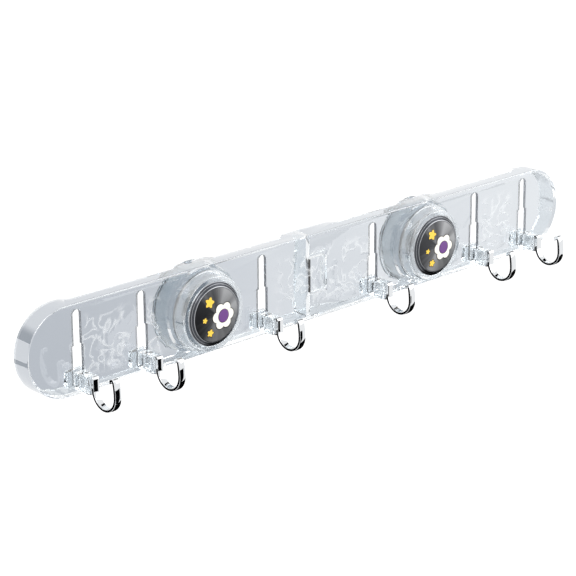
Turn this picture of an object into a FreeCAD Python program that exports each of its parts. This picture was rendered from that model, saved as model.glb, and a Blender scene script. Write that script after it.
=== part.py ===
import FreeCAD, Part
import math
import os
import Sketcher

# Suction cup hook rail: a clear bar in two moulded halves, held to a wall by two
# screw-down suction cups, with six chrome hooks in vertical slots.
# Origin: middle of the two cups, on the wall. +Y points into the wall, +Z up, +X along the bar.

SIZES = [
    ("rail_height", 56, "bar, top to bottom"),
    ("rail_half_length", 228, "middle of the slot layout to each rounded tip"),
    ("seam_shift", 8, "the joint lies this far to the left of the middle"),
    ("seam_gap", 0.05, "between the end walls of the two halves"),
    ("wall_gap", 1.5, "back edge of the deep rim to the wall"),
    ("rim_depth", 13, "front face to the deep back edge"),
    ("rim_low_depth", 8.6, "front face to the back edge on the long straights"),
    ("plate_thickness", 2.2, "front plate"),
    ("rim_thickness", 2, "rim and round housing wall"),
    ("front_edge_radius", 0.7, "rounding of the front edge"),
    ("curve_run", 9, "length of each S-shaped step in the rim's back edge"),
    ("end_deep_run", 31, "deep rim at each rounded end, from the tip"),
    ("cup_deep_half", 9, "deep rim on each side of a cup's centre"),
    ("left_seam_deep_run", 10, "deep rim of the left half beside the joint"),
    ("right_seam_deep_run", 24, "deep rim of the right half beside the joint"),
    ("end_slot_inset", 36, "outermost slots from the bar's tips"),
    ("slot_wide", 8, "lower part of a slot"),
    ("slot_narrow", 6, "upper part of a slot"),
    ("slot_floor_inset", 5, "slot's floor above the bar's lower edge"),
    ("slot_wide_length", 25.4, "slot's floor to the step where it narrows"),
    ("slot_crown_inset", 4, "slot's crown below the bar's upper edge"),
    ("slot_corner", 1, "radius of a slot's lower corners"),
    ("tongue_reach", 14.6, "tongue of the left half, past the joint"),
    ("tongue_height", 22, "tongue, top to bottom"),
    ("tongue_rise", 1, "middle of the tongue above the bar's middle"),
    ("tongue_gap", 0.3, "round the tongue in its window"),
    ("tongue_corner", 1.5, "corner radius of the tongue"),
    ("frame_wall", 1.8, "frame behind the window"),
    ("frame_depth", 5, "frame behind the window, from the front face"),
    ("catch_width", 12, "snap rib on the back of the tongue"),
    ("catch_depth", 1.8, "snap rib, front to back"),
    ("catch_thickness", 1.2, "snap rib, along the bar"),
    ("stud_radius", 5, "stud where it passes the bar"),
    ("stud_flat", 4, "half width across the stud's two flats"),
    ("stud_clearance", 0.08, "round the stud in the bar and in the knob"),
    ("stud_tip_bevel", 0.64, "bevel on the stud's threaded end"),
    ("thread_radius", 4, "threaded end of the stud"),
    ("stud_stroke", 3, "pull of the stud when the knob is tightened"),
    ("stud_head_radius", 7, "head of the stud, moulded into the cup"),
    ("stud_head_height", 2.3, "head of the stud"),
    ("stud_head_floor", 5.9, "back of the stud's head from the wall"),
    ("thread_engaged", 2.8, "thread inside the knob with the cup slack"),
    ("knob_gap", 0.25, "knob to the bar's front face"),
    ("knob_flange_reach", 0.8, "knob's foot ring beyond the skirt"),
    ("knob_flange_height", 2.2, "knob's foot ring, front to back"),
    ("knob_body_radius", 24.4, "knob at its foot ring"),
    ("knob_taper", 1.2, "knob's skirt, narrower at its front by"),
    ("knob_height", 9.4, "front face of the bar to the knob's front rim"),
    ("knob_edge", 0.5, "bevel of the knob's front edge"),
    ("knob_skirt", 2.8, "wall of the knob's skirt at its foot ring"),
    ("hub_gap", 0.45, "hub to the stud's shoulder with the cup pulled fully in"),
    ("shank_sunk", 1.1, "stud's shoulder behind the bar's front with the cup slack"),
    ("knob_floor", 2.2, "web between the knob's skirt and its hub"),
    ("hub_radius", 7.5, "hub behind the web"),
    ("cap_inset", 4.4, "edge of the metallised cap inside the knob's outside"),
    ("cap_seat_gap", 0.05, "round the cap in its recess"),
    ("cap_recess", 1.2, "depth of the recess that holds the cap"),
    ("cap_bevel_width", 2.8, "bevel of the cap, edge to face"),
    ("cap_bevel_height", 1.9, "bevel of the cap"),
    ("cap_crown", 0.9, "rise of the cap's middle over its bevel"),
    ("cap_middle_radius", 7, "level middle of the cap"),
    ("cap_wall", 1, "cap's wall"),
    ("cup_overhang", 0.2, "suction cup's lip beyond the round housing"),
    ("lip_thickness", 0.9, "suction cup's lip at its edge"),
    ("lip_rise", 1.2, "suction cup under the round housing"),
    ("dome_margin", 0.6, "start of the cup's dome inside the housing wall"),
    ("dome_radius", 10.5, "suction cup where its dome meets the boss"),
    ("dome_height", 7.6, "suction cup where its dome meets the boss"),
    ("dome_bulge", 0.7, "how far the dome stands out half way down"),
    ("boss_radius", 9.6, "boss that holds the stud's head"),
    ("boss_height", 11.6, "front of the boss from the wall"),
    ("hollow_height", 2.6, "hollow under the middle of the cup"),
    ("hollow_radius", 9, "level middle of the hollow"),
    ("lip_land", 4.5, "flat edge of the lip that touches the wall"),
    ("head_width", 13.5, "holder behind the plate"),
    ("head_thickness", 3.8, "holder behind the plate, front to back"),
    ("head_gap", 0.3, "holder to the plate, behind"),
    ("holder_height", 10.8, "holder, top to bottom"),
    ("holder_corner", 1.2, "corner radius of the holder's head"),
    ("holder_width", 7.4, "holder's block in front of the plate"),
    ("holder_reach", 12, "front of the block from the bar's front face"),
    ("block_gap", 0.3, "block to the bar's front face"),
    ("block_corner", 0.8, "corner radius of the block"),
    ("panel_depth", 1.1, "sunk panel in each side of the block"),
    ("panel_edge", 1.3, "frame left round the sunk panel"),
    ("panel_back", 4.2, "sunk panel from the back of the block"),
    ("neck_width", 5.4, "holder's neck in the slot"),
    ("neck_margin", 1.2, "neck inside the head's top and bottom"),
    ("hook_width", 4.4, "chrome strip, side to side"),
    ("hook_thickness", 1.8, "chrome strip"),
    ("hook_bend", 1.05, "turn over the block's top, to the strip's middle"),
    ("hook_radius", 9.95, "ring of the hook, to the strip's middle"),
    ("hook_turn_drop", 1.2, "middle of the top turn below the block's top"),
    ("hook_drop", 6, "straight length from the top turn to the ring"),
    ("hook_rise", 9.4, "front leg above the ring's middle"),
    ("hook_lean", 42, "radius of the front leg's inward lean"),
    ("hook_curl", 1.25, "rolled tip, to the strip's middle"),
    ("cut_margin", 4, "how far cutting outlines reach past what they cut"),
]


class Size:
    """A length with its value and the sheet formula that keeps it up to date."""

    def __init__(self, value, text):
        self.value = float(value)
        self.text = text

    def __add__(self, other):
        other = sized(other)
        return Size(self.value + other.value, f"({self.text} + {other.text})")

    def __radd__(self, other):
        return sized(other) + self

    def __sub__(self, other):
        other = sized(other)
        return Size(self.value - other.value, f"({self.text} - {other.text})")

    def __rsub__(self, other):
        return sized(other) - self

    def __mul__(self, other):
        other = sized(other)
        return Size(self.value * other.value, f"({self.text} * {other.text})")

    def __rmul__(self, other):
        return sized(other) * self

    def __truediv__(self, other):
        other = sized(other)
        return Size(self.value / other.value, f"({self.text} / {other.text})")

    def __neg__(self):
        return Size(-self.value, f"(-1 * {self.text})")


def sized(value):
    return value if isinstance(value, Size) else Size(value, repr(value))


def root(size):
    return Size(math.sqrt(size.value), f"sqrt({size.text})")


doc = FreeCAD.newDocument("suction_hook_rail")
sheet = doc.addObject("Spreadsheet::Sheet", "sizes")
given = {}
for row, (alias, value, meaning) in enumerate(SIZES, start=1):
    sheet.set(f"A{row}", meaning)
    sheet.set(f"B{row}", str(value))
    sheet.setAlias(f"B{row}", alias)
    given[alias] = Size(value, f"sizes.{alias}")
doc.recompute()


def bind(target, prop, size):
    """Give a property its value and tie it to the sheet."""
    size = sized(size)
    setattr(target, prop, size.value)
    target.setExpression(prop, size.text)


def new_body(label, x=None):
    body = doc.addObject("PartDesign::Body", label)
    body.Label = label
    if x is not None:
        body.Placement = FreeCAD.Placement(FreeCAD.Vector(x.value, 0, 0), FreeCAD.Rotation())
        body.setExpression("Placement.Base.x", x.text)
    return body


def new_sketch(body, name, plane, offset=None):
    """A sketch on one of the body's own planes, moved along the plane's normal by offset."""
    sketch = body.newObject("Sketcher::SketchObject", name)
    base = next(item for item in body.Origin.OriginFeatures if item.Role == plane)
    sketch.AttachmentSupport = [(base, "")]
    sketch.MapMode = "FlatFace"
    if offset is not None:
        offset = sized(offset)
        sketch.AttachmentOffset = FreeCAD.Placement(
            FreeCAD.Vector(0, 0, offset.value), FreeCAD.Rotation()
        )
        sketch.setExpression("AttachmentOffset.Base.z", offset.text)
    return sketch


def constrain(sketch, kind, *refs, size):
    """Add a constraint and tie its value to the sheet."""
    size = sized(size)
    index = sketch.addConstraint(Sketcher.Constraint(kind, *refs, size.value))
    if "sizes." in size.text:
        sketch.setExpression(f"Constraints[{index}]", size.text)


def pin(sketch, geometry, end, point):
    """Hold one end of a line or arc at a point given in the sketch's own axes."""
    for kind, axis, size in (("DistanceX", -2, point[0]), ("DistanceY", -1, point[1])):
        if sized(size).text == "0":
            sketch.addConstraint(Sketcher.Constraint("PointOnObject", geometry, end, axis))
        else:
            constrain(sketch, kind, -1, 1, geometry, end, size=size)


def outline(sketch, points, closed=True):
    """Draw lines and arcs through points: (x, y) ends a line, and (x, y, radius, turn)
    ends an arc under half a circle, with turn 1 to the left and -1 to the right."""
    stops = points[1:] + (points[:1] if closed else [])
    spots = [FreeCAD.Vector(sized(p[0]).value, sized(p[1]).value, 0) for p in [points[0]] + stops]
    pieces = []
    for start, end, stop in zip(spots, spots[1:], stops):
        if len(stop) == 2:
            index = sketch.addGeometry(Part.LineSegment(start, end), False)
            pieces.append((index, 1, 2))
            continue
        radius, turn = sized(stop[2]), stop[3]
        chord = end - start
        height = math.sqrt(max(radius.value**2 - chord.Length**2 / 4, 0))
        left = FreeCAD.Vector(-chord.y, chord.x, 0).normalize()
        centre = start + chord * 0.5 + left * (height * turn)
        first, last = (start, end) if turn > 0 else (end, start)
        angles = [math.atan2(spot.y - centre.y, spot.x - centre.x) for spot in (first, last)]
        circle = Part.Circle(centre, FreeCAD.Vector(0, 0, 1), radius.value)
        index = sketch.addGeometry(Part.ArcOfCircle(circle, *angles), False)
        constrain(sketch, "Radius", index, size=radius)
        pieces.append((index, 1, 2) if turn > 0 else (index, 2, 1))
    for (index, begin, _), point in zip(pieces, points):
        pin(sketch, index, begin, point)
    for (index, _, end), (following, begin, _) in zip(pieces, pieces[1:]):
        sketch.addConstraint(Sketcher.Constraint("Coincident", index, end, following, begin))
    index, _, end = pieces[-1]
    if closed:
        sketch.addConstraint(Sketcher.Constraint("Coincident", index, end, pieces[0][0], pieces[0][1]))
    else:
        pin(sketch, index, end, points[-1])


def circle(sketch, x, radius):
    """A full circle centred on the sketch's level axis."""
    ring = Part.Circle(FreeCAD.Vector(sized(x).value, 0, 0), FreeCAD.Vector(0, 0, 1), sized(radius).value)
    index = sketch.addGeometry(ring, False)
    pin(sketch, index, 3, (x, 0))
    constrain(sketch, "Radius", index, size=radius)


def rounded_box(sketch, low, high, radius):
    """A rectangle with four round corners, from its lowest to its highest corner."""
    (x0, y0), (x1, y1) = low, high
    outline(sketch, [
        (x0 + radius, y0, radius, 1), (x1 - radius, y0),
        (x1, y0 + radius, radius, 1), (x1, y1 - radius),
        (x1 - radius, y1, radius, 1), (x0 + radius, y1),
        (x0, y1 - radius, radius, 1), (x0, y0 + radius),
    ])


def add_feature(body, kind, name, sketch):
    feature = body.newObject(kind, name)
    feature.Profile = sketch
    return feature


def pad(body, name, sketch, length, backwards=False, middle=False):
    feature = add_feature(body, "PartDesign::Pad", name, sketch)
    bind(feature, "Length", length)
    feature.Reversed = backwards
    feature.Midplane = middle
    return feature


def pocket(body, name, sketch, length, forwards=False, middle=False):
    """Cut against the sketch's normal, or along it when forwards is set."""
    before = solid_volume(body)
    feature = add_feature(body, "PartDesign::Pocket", name, sketch)
    bind(feature, "Length", length)
    feature.Reversed = forwards
    feature.Midplane = middle
    doc.recompute()
    if not solid_volume(body) < before:
        raise RuntimeError(f"{body.Label}: {name} cuts nothing")
    return feature


def solid_volume(body):
    doc.recompute()
    return body.Shape.Volume


def revolve(body, name, sketch):
    """Turn a profile once round the sketch's upright axis."""
    feature = add_feature(body, "PartDesign::Revolution", name, sketch)
    feature.ReferenceAxis = (sketch, ["V_Axis"])
    feature.Angle = 360
    return feature


def round_edges(body, name, radius, wanted):
    """Round the edges of the body's present solid for which wanted(edge) is true."""
    doc.recompute()
    base = body.Tip
    names = [f"Edge{n}" for n, edge in enumerate(base.Shape.Edges, start=1) if wanted(edge)]
    feature = body.newObject("PartDesign::Fillet", name)
    feature.Base = (base, names)
    bind(feature, "Radius", radius)
    return feature


g = given
HALF_HEIGHT = g["rail_height"] / 2
FRONT = g["wall_gap"] + g["rim_depth"]
PLATE_BACK = FRONT - g["plate_thickness"]
RIM_LOW_BACK = FRONT - g["rim_low_depth"]
SEAM = -g["seam_shift"]
END_CENTRE = g["rail_half_length"] - HALF_HEIGHT
SLOT_PLACES = (1, 3, 4)
CUP_PLACE = 2
SLOT_PITCH = (g["rail_half_length"] - g["end_slot_inset"]) / SLOT_PLACES[-1]
CUP_CENTRE = SLOT_PITCH * CUP_PLACE
SLOT_FLOOR = g["slot_floor_inset"] - HALF_HEIGHT
SLOT_CROWN = HALF_HEIGHT - g["slot_crown_inset"]
CAP_RADIUS = g["knob_body_radius"] - g["cap_inset"]
HUB_BACK = FRONT - g["shank_sunk"] + g["stud_stroke"] + g["hub_gap"]
STUD_HOLE = g["stud_radius"] + g["stud_clearance"]
STUD_HOLE_FLAT = g["stud_flat"] + g["stud_clearance"]


def flatted_round(sketch, x, radius, flat):
    """A circle with a flat above and below, as wide across the flats as twice flat."""
    side = root(radius * radius - flat * flat)
    outline(sketch, [
        (x - side, -flat, radius, 1), (x + side, -flat),
        (x + side, flat, radius, 1), (x - side, flat),
    ])


def half_bar(sketch, side, inset, seam_inset):
    """The outline of one half: straight at the joint, a half circle at its far end."""
    high = HALF_HEIGHT - inset
    seam = SEAM + side * seam_inset
    centre = END_CENTRE * side
    tip = (END_CENTRE + high) * side
    outline(sketch, [
        (seam, -high), (centre, -high), (tip, 0, high, side),
        (centre, high, high, side), (seam, high),
    ])


def low_rim(sketch, x0, x1):
    """What is cut from the rim's back edge between two deep stretches, seen from above.
    Each end is an S of two equal arcs."""
    run, rise = g["curve_run"], g["rim_depth"] - g["rim_low_depth"]
    bend = (run * run + rise * rise) / (rise * 4)
    deep, low, clear = -g["wall_gap"], -RIM_LOW_BACK, g["cut_margin"]
    middle = (deep + low) / 2
    outline(sketch, [
        (x0, clear), (x0, deep), (x0 + run / 2, middle, bend, -1), (x0 + run, low, bend, 1),
        (x1 - run, low), (x1 - run / 2, middle, bend, 1), (x1, deep, bend, -1), (x1, clear),
    ])


def slot(sketch, x):
    """A slot that is wide below and narrow above, with a round crown."""
    wide, narrow, corner = g["slot_wide"] / 2, g["slot_narrow"] / 2, g["slot_corner"]
    floor, step, top = SLOT_FLOOR, SLOT_FLOOR + g["slot_wide_length"], SLOT_CROWN
    outline(sketch, [
        (x - wide + corner, floor, corner, 1), (x + wide - corner, floor),
        (x + wide, floor + corner, corner, 1), (x + wide, step), (x + narrow, step),
        (x + narrow, top - narrow), (x, top, narrow, 1), (x - narrow, top - narrow, narrow, 1),
        (x - narrow, step), (x - wide, step), (x - wide, floor + corner),
    ])


def make_rail(label, side):
    """One half of the bar: a front plate with a rim behind it, a round housing over its
    suction cup, three slots, and its part of the snap joint. side is -1 left, 1 right."""
    body = new_body(label)
    block_sketch = new_sketch(body, label + "_outline", "XZ_Plane", g["wall_gap"])
    half_bar(block_sketch, side, 0, g["seam_gap"] / 2)
    pad(body, label + "_block", block_sketch, g["rim_depth"])

    front_y = -FRONT.value
    seam_x = (SEAM + side * g["seam_gap"] / 2).value
    round_edges(
        body, label + "_front_edge", g["front_edge_radius"],
        lambda edge: all(abs(v.Point.y - front_y) < 1e-4 for v in edge.Vertexes)
        and not all(abs(v.Point.x - seam_x) < 1e-4 for v in edge.Vertexes),
    )

    hollow_sketch = new_sketch(body, label + "_hollow_outline", "XZ_Plane", g["wall_gap"])
    half_bar(hollow_sketch, side, g["rim_thickness"], g["rim_thickness"])
    pocket(body, label + "_hollow", hollow_sketch, g["rim_depth"] - g["plate_thickness"], forwards=True)

    cup_x = CUP_CENTRE * side
    beside_cup = (cup_x - g["cup_deep_half"], cup_x + g["cup_deep_half"])
    tip_end = (g["rail_half_length"] - g["end_deep_run"]) * side
    if side < 0:
        stretches = ((tip_end, beside_cup[0]), (beside_cup[1], SEAM - g["left_seam_deep_run"]))
    else:
        stretches = ((SEAM + g["right_seam_deep_run"], beside_cup[0]), (beside_cup[1], tip_end))
    for number, (x0, x1) in enumerate(stretches, start=1):
        low_sketch = new_sketch(body, f"{label}_low_outline_{number}", "XY_Plane")
        low_rim(low_sketch, x0, x1)
        pocket(body, f"{label}_low_rim_{number}", low_sketch, g["rail_height"] + g["cut_margin"],
               middle=True)

    housing_sketch = new_sketch(body, label + "_housing_outline", "XZ_Plane", PLATE_BACK)
    circle(housing_sketch, cup_x, HALF_HEIGHT)
    circle(housing_sketch, cup_x, HALF_HEIGHT - g["rim_thickness"])
    pad(body, label + "_housing", housing_sketch, PLATE_BACK - g["wall_gap"], backwards=True)

    hole_sketch = new_sketch(body, label + "_stud_hole_outline", "XZ_Plane", FRONT)
    flatted_round(hole_sketch, cup_x, STUD_HOLE, STUD_HOLE_FLAT)
    pocket(body, label + "_stud_hole", hole_sketch, g["plate_thickness"])

    slot_sketch = new_sketch(body, label + "_slot_outlines", "XZ_Plane", FRONT)
    for place in SLOT_PLACES:
        slot(slot_sketch, SLOT_PITCH * place * side)
    pocket(body, label + "_slots", slot_sketch, g["plate_thickness"])
    return body


def tongue_box(margin):
    """Lowest and highest corner of the tongue, or of its window, in the bar's face."""
    half = g["tongue_height"] / 2 + margin
    return (SEAM, g["tongue_rise"] - half), (SEAM + g["tongue_reach"] + margin, g["tongue_rise"] + half)


def add_tongue(body):
    """The left half's tongue reaches over the right half's end wall, with a snap rib."""
    (x0, z0), (x1, z1) = tongue_box(0)
    corner = g["tongue_corner"]
    tongue = new_sketch(body, "tongue_outline", "XZ_Plane", PLATE_BACK)
    outline(tongue, [
        (x0 - g["rim_thickness"], z0), (x1 - corner, z0), (x1, z0 + corner, corner, 1),
        (x1, z1 - corner), (x1 - corner, z1, corner, 1), (x0 - g["rim_thickness"], z1),
    ])
    pad(body, "tongue", tongue, g["plate_thickness"])
    catch = new_sketch(body, "catch_outline", "XZ_Plane", PLATE_BACK)
    catch_x, half = x1 - corner, g["catch_width"] / 2
    outline(catch, [
        (catch_x - g["catch_thickness"], g["tongue_rise"] - half), (catch_x, g["tongue_rise"] - half),
        (catch_x, g["tongue_rise"] + half), (catch_x - g["catch_thickness"], g["tongue_rise"] + half),
    ])
    pad(body, "catch", catch, g["catch_depth"], backwards=True)


def add_window(body):
    """The right half's window for the tongue, with a frame behind it on three sides."""
    gap, wall = g["tongue_gap"], g["frame_wall"]
    (x0, z0), (x1, z1) = tongue_box(gap)
    frame = new_sketch(body, "frame_outline", "XZ_Plane", PLATE_BACK)
    in_wall = x0 + g["rim_thickness"] / 2
    outline(frame, [
        (in_wall, z0 - wall), (x1 + wall, z0 - wall), (x1 + wall, z1 + wall), (in_wall, z1 + wall),
    ])
    pad(body, "frame", frame, g["frame_depth"] - g["plate_thickness"], backwards=True)
    inner = new_sketch(body, "frame_inner_outline", "XZ_Plane", FRONT)
    corner = g["tongue_corner"] + gap
    past_seam = x0 - g["rim_thickness"]
    outline(inner, [
        (past_seam, z0), (x1 - corner, z0), (x1, z0 + corner, corner, 1),
        (x1, z1 - corner), (x1 - corner, z1, corner, 1), (past_seam, z1),
    ])
    pocket(body, "window", inner, g["plate_thickness"])
    well = new_sketch(body, "well_outline", "XZ_Plane", PLATE_BACK)
    inside = x0 + g["rim_thickness"] + g["seam_gap"] / 2
    outline(well, [
        (inside, z0), (x1 - corner, z0), (x1, z0 + corner, corner, 1),
        (x1, z1 - corner), (x1 - corner, z1, corner, 1), (inside, z1),
    ])
    pocket(body, "well", well, g["frame_depth"] - g["plate_thickness"])


def make_knob(label, x):
    """A clear screw knob: foot ring, tapering skirt, a web with a threaded hub, and a
    round recess in its face."""
    body = new_body(label, x)
    foot = FRONT + g["knob_gap"]
    foot_top = FRONT + g["knob_flange_height"]
    face = FRONT + g["knob_height"]
    seat = face - g["cap_recess"]
    edge, skirt = g["knob_edge"], g["knob_body_radius"]
    flange, front, inside = skirt + g["knob_flange_reach"], skirt - g["knob_taper"], skirt - g["knob_skirt"]
    recess = CAP_RADIUS + g["cap_seat_gap"]
    bore = g["thread_radius"] + g["stud_clearance"]
    sketch = new_sketch(body, label + "_profile", "XY_Plane")
    outline(sketch, [
        (bore, -HUB_BACK), (bore, -seat), (recess, -seat), (recess, -face), (front - edge, -face), (front, -(face - edge)),
        (skirt, -foot_top), (flange, -foot_top), (flange, -foot), (inside, -foot),
        (inside, -(seat - g["knob_floor"])),
        (g["hub_radius"], -(seat - g["knob_floor"])), (g["hub_radius"], -HUB_BACK),
    ])
    revolve(body, label + "_turned", sketch)
    return body


def make_cap(label, x):
    """The metallised cap in the knob's face: a thin shell, raised in the middle, with a bevelled edge."""
    body = new_body(label, x)
    seat = FRONT + g["knob_height"] - g["cap_recess"]
    rim = FRONT + g["knob_height"]
    bevel_top = rim + g["cap_bevel_height"]
    crown = bevel_top + g["cap_crown"]
    wall, outer, face = g["cap_wall"], CAP_RADIUS, CAP_RADIUS - g["cap_bevel_width"]
    middle = g["cap_middle_radius"]
    sketch = new_sketch(body, label + "_profile", "XY_Plane")
    outline(sketch, [
        (0, -(crown - wall)), (0, -crown), (middle, -crown), (face, -bevel_top), (outer, -rim),
        (outer, -seat), (outer - wall, -seat), (outer - wall, -(rim - wall / 2)),
        (face - wall / 2, -(bevel_top - wall)), (middle, -(crown - wall)),
    ])
    revolve(body, label + "_turned", sketch)
    return body


def make_cup(label, x):
    """A soft suction cup: a thin lip, a domed wall and a boss moulded over the stud's head."""
    body = new_body(label, x)
    shank = g["stud_radius"] + g["stud_clearance"]
    head = g["stud_head_radius"] + g["stud_clearance"]
    head_back = g["stud_head_floor"] - g["stud_clearance"]
    head_front = g["stud_head_floor"] + g["stud_head_height"] + g["stud_clearance"]
    lip = HALF_HEIGHT + g["cup_overhang"]
    land, height = lip - g["lip_land"], g["hollow_height"]
    dome_end = HALF_HEIGHT - g["rim_thickness"] - g["dome_margin"]
    half_way = (g["dome_radius"] + dome_end) / 2
    half_height = (g["dome_height"] + g["lip_rise"]) / 2 + g["dome_bulge"]
    sketch = new_sketch(body, label + "_profile", "XY_Plane")
    outline(sketch, [
        (0, -height), (0, -head_back), (head, -head_back), (head, -head_front),
        (shank, -head_front), (shank, -g["boss_height"]), (g["boss_radius"], -g["boss_height"]),
        (g["dome_radius"], -g["dome_height"]), (half_way, -half_height), (dome_end, -g["lip_rise"]),
        (lip, -g["lip_thickness"]), (lip, 0), (land, 0), (g["hollow_radius"], -height),
    ])
    revolve(body, label + "_moulded", sketch)
    return body


def make_stud(label, x):
    """The cup's stud: a head held in the cup, a shank with two flats that cannot turn in
    the bar, and a round threaded end."""
    body = new_body(label, x)
    head_front = g["stud_head_floor"] + g["stud_head_height"]
    shoulder = FRONT - g["shank_sunk"]
    tip = HUB_BACK + g["thread_engaged"]
    bevel = g["stud_tip_bevel"]
    sketch = new_sketch(body, label + "_profile", "XY_Plane")
    outline(sketch, [
        (0, -g["stud_head_floor"]), (0, -tip), (g["thread_radius"] - bevel, -tip),
        (g["thread_radius"], -(tip - bevel)), (g["thread_radius"], -shoulder),
        (g["stud_radius"], -shoulder), (g["stud_radius"], -head_front),
        (g["stud_head_radius"], -head_front), (g["stud_head_radius"], -g["stud_head_floor"]),
    ])
    revolve(body, label + "_turned", sketch)
    flats = new_sketch(body, label + "_flats_outline", "YZ_Plane")
    for turn in (1, -1):
        near, far = g["stud_flat"] * turn, (g["stud_radius"] + g["cut_margin"]) * turn
        outline(flats, [
            (-shoulder, near), (-head_front, near), (-head_front, far), (-shoulder, far),
        ])
    pocket(body, label + "_flats", flats, g["stud_radius"] * 2 + g["cut_margin"], middle=True)
    return body


HOLDER_LOW = SLOT_FLOOR - g["neck_margin"]
HOLDER_HIGH = HOLDER_LOW + g["holder_height"]
HEAD_FRONT = PLATE_BACK - g["head_gap"]
BLOCK_BACK = FRONT + g["block_gap"]
BLOCK_FRONT = FRONT + g["holder_reach"]


def make_holder(label, x):
    """A clear holder: a wide head behind the plate, a neck that runs in the slot and a
    block in front that carries the hook."""
    body = new_body(label, x)
    head = new_sketch(body, label + "_head_outline", "XZ_Plane", HEAD_FRONT - g["head_thickness"])
    half = g["head_width"] / 2
    rounded_box(head, (-half, HOLDER_LOW), (half, HOLDER_HIGH), g["holder_corner"])
    pad(body, label + "_head", head, g["head_thickness"])

    neck = new_sketch(body, label + "_neck_outline", "XZ_Plane", HEAD_FRONT)
    half = g["neck_width"] / 2
    crown = HOLDER_HIGH - g["neck_margin"]
    outline(neck, [
        (-half, SLOT_FLOOR), (half, SLOT_FLOOR), (half, crown - half),
        (0, crown, half, 1), (-half, crown - half, half, 1),
    ])
    pad(body, label + "_neck", neck, BLOCK_BACK - HEAD_FRONT)

    block = new_sketch(body, label + "_block_outline", "XZ_Plane", BLOCK_BACK)
    half = g["holder_width"] / 2
    rounded_box(block, (-half, HOLDER_LOW), (half, HOLDER_HIGH), g["block_corner"])
    pad(body, label + "_block", block, BLOCK_FRONT - BLOCK_BACK)

    edge, floor = g["panel_edge"], half - g["panel_depth"]
    back, front = -(BLOCK_BACK + g["panel_back"]), -(BLOCK_FRONT - edge)
    low, high = HOLDER_LOW + edge, HOLDER_HIGH - edge
    for name, side in (("left", -1), ("right", 1)):
        panel = new_sketch(body, f"{label}_panel_outline_{name}", "YZ_Plane", floor * side)
        outline(panel, [(front, low), (back, low), (back, high), (front, high)])
        pocket(body, f"{label}_panel_{name}", panel, g["panel_depth"], forwards=side > 0)
    return body


def make_hook(label, x):
    """A chromed strip bent in one piece: flat against the block, over its top, down and
    round into an open ring, and rolled in at the tip."""
    body = new_body(label, x)
    back = BLOCK_FRONT + g["hook_thickness"] / 2
    bend, ring, curl = g["hook_bend"], g["hook_radius"], g["hook_curl"]
    leg = back + bend * 2
    turn_height = HOLDER_HIGH - g["hook_turn_drop"]
    ring_height = turn_height - g["hook_drop"]
    front = leg + ring * 2
    lean, rise = g["hook_lean"], g["hook_rise"]
    shift = lean - root(lean * lean - rise * rise)
    slope = rise / lean
    level = root(1 - slope * slope)
    tip_y, tip_z = shift - front, ring_height + rise
    curl_y, curl_z = tip_y + curl * level, tip_z - curl * slope
    half = g["hook_thickness"] / 2
    outer, inner = curl + half, curl - half
    end_y, end_z = 4 / 5, 3 / 5
    profile = new_sketch(body, label + "_profile", "YZ_Plane")
    outline(profile, [
        (-back - half, HOLDER_LOW), (-back - half, turn_height),
        (-back - bend, turn_height + bend - half, bend - half, 1),
        (-leg + half, turn_height, bend - half, 1), (-leg + half, ring_height),
        (-leg - ring, ring_height - ring - half, ring + half, -1),
        (-front - half, ring_height, ring + half, -1),
        (tip_y - half * level, tip_z + half * slope, lean + half, -1),
        (curl_y, curl_z + outer, outer, -1),
        (curl_y + outer * end_y, curl_z - outer * end_z, outer, -1),
        (curl_y + inner * end_y, curl_z - inner * end_z), (curl_y, curl_z + inner, inner, 1),
        (tip_y + half * level, tip_z - half * slope, inner, 1),
        (-front + half, ring_height, lean - half, 1),
        (-leg - ring, ring_height - ring + half, ring - half, 1),
        (-leg - half, ring_height, ring - half, 1), (-leg - half, turn_height),
        (-back - bend, turn_height + bend + half, bend + half, -1),
        (-back + half, turn_height, bend + half, -1), (-back + half, HOLDER_LOW),
    ])
    pad(body, label + "_strip", profile, g["hook_width"], middle=True)
    return body


rail_left = make_rail("rail_left", -1)
rail_right = make_rail("rail_right", 1)
add_tongue(rail_left)
add_window(rail_right)
sub_parts = [rail_left, rail_right]
for name, side in (("left", -1), ("right", 1)):
    cup_x = CUP_CENTRE * side
    sub_parts += [
        make_knob(f"knob_{name}", cup_x), make_cap(f"knob_cap_{name}", cup_x),
        make_cup(f"suction_cup_{name}", cup_x), make_stud(f"cup_stud_{name}", cup_x),
    ]
slot_numbers = [-place for place in reversed(SLOT_PLACES)] + list(SLOT_PLACES)
for number, place in enumerate(slot_numbers, start=1):
    slot_x = SLOT_PITCH * place
    sub_parts += [make_holder(f"hook_holder_{number}", slot_x), make_hook(f"hook_{number}", slot_x)]

doc.recompute()
for item in doc.Objects:
    if {"Invalid", "Error"} & set(item.State):
        raise RuntimeError(f"{item.Label} could not be made")
os.makedirs("parts", exist_ok=True)
for body in sub_parts:
    shape = body.Shape
    if shape.isNull() or not shape.isValid() or len(shape.Solids) != 1:
        raise RuntimeError(f"{body.Label} is not one sound solid")
for body in sub_parts:
    body.Shape.exportStep(f"parts/{body.Label}.step")
    box = body.Shape.BoundBox
    print(f"{body.Label}: {body.Shape.Volume:.0f} mm3, {len(body.Shape.Faces)} faces, "
          f"x {box.XMin:.2f} {box.XMax:.2f} y {box.YMin:.2f} {box.YMax:.2f} z {box.ZMin:.2f} {box.ZMax:.2f}")
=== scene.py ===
import math

import bmesh
import bpy
import numpy as np
from bpy.props import FloatProperty, FloatVectorProperty, IntProperty, PointerProperty
from mathutils import Matrix


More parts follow.
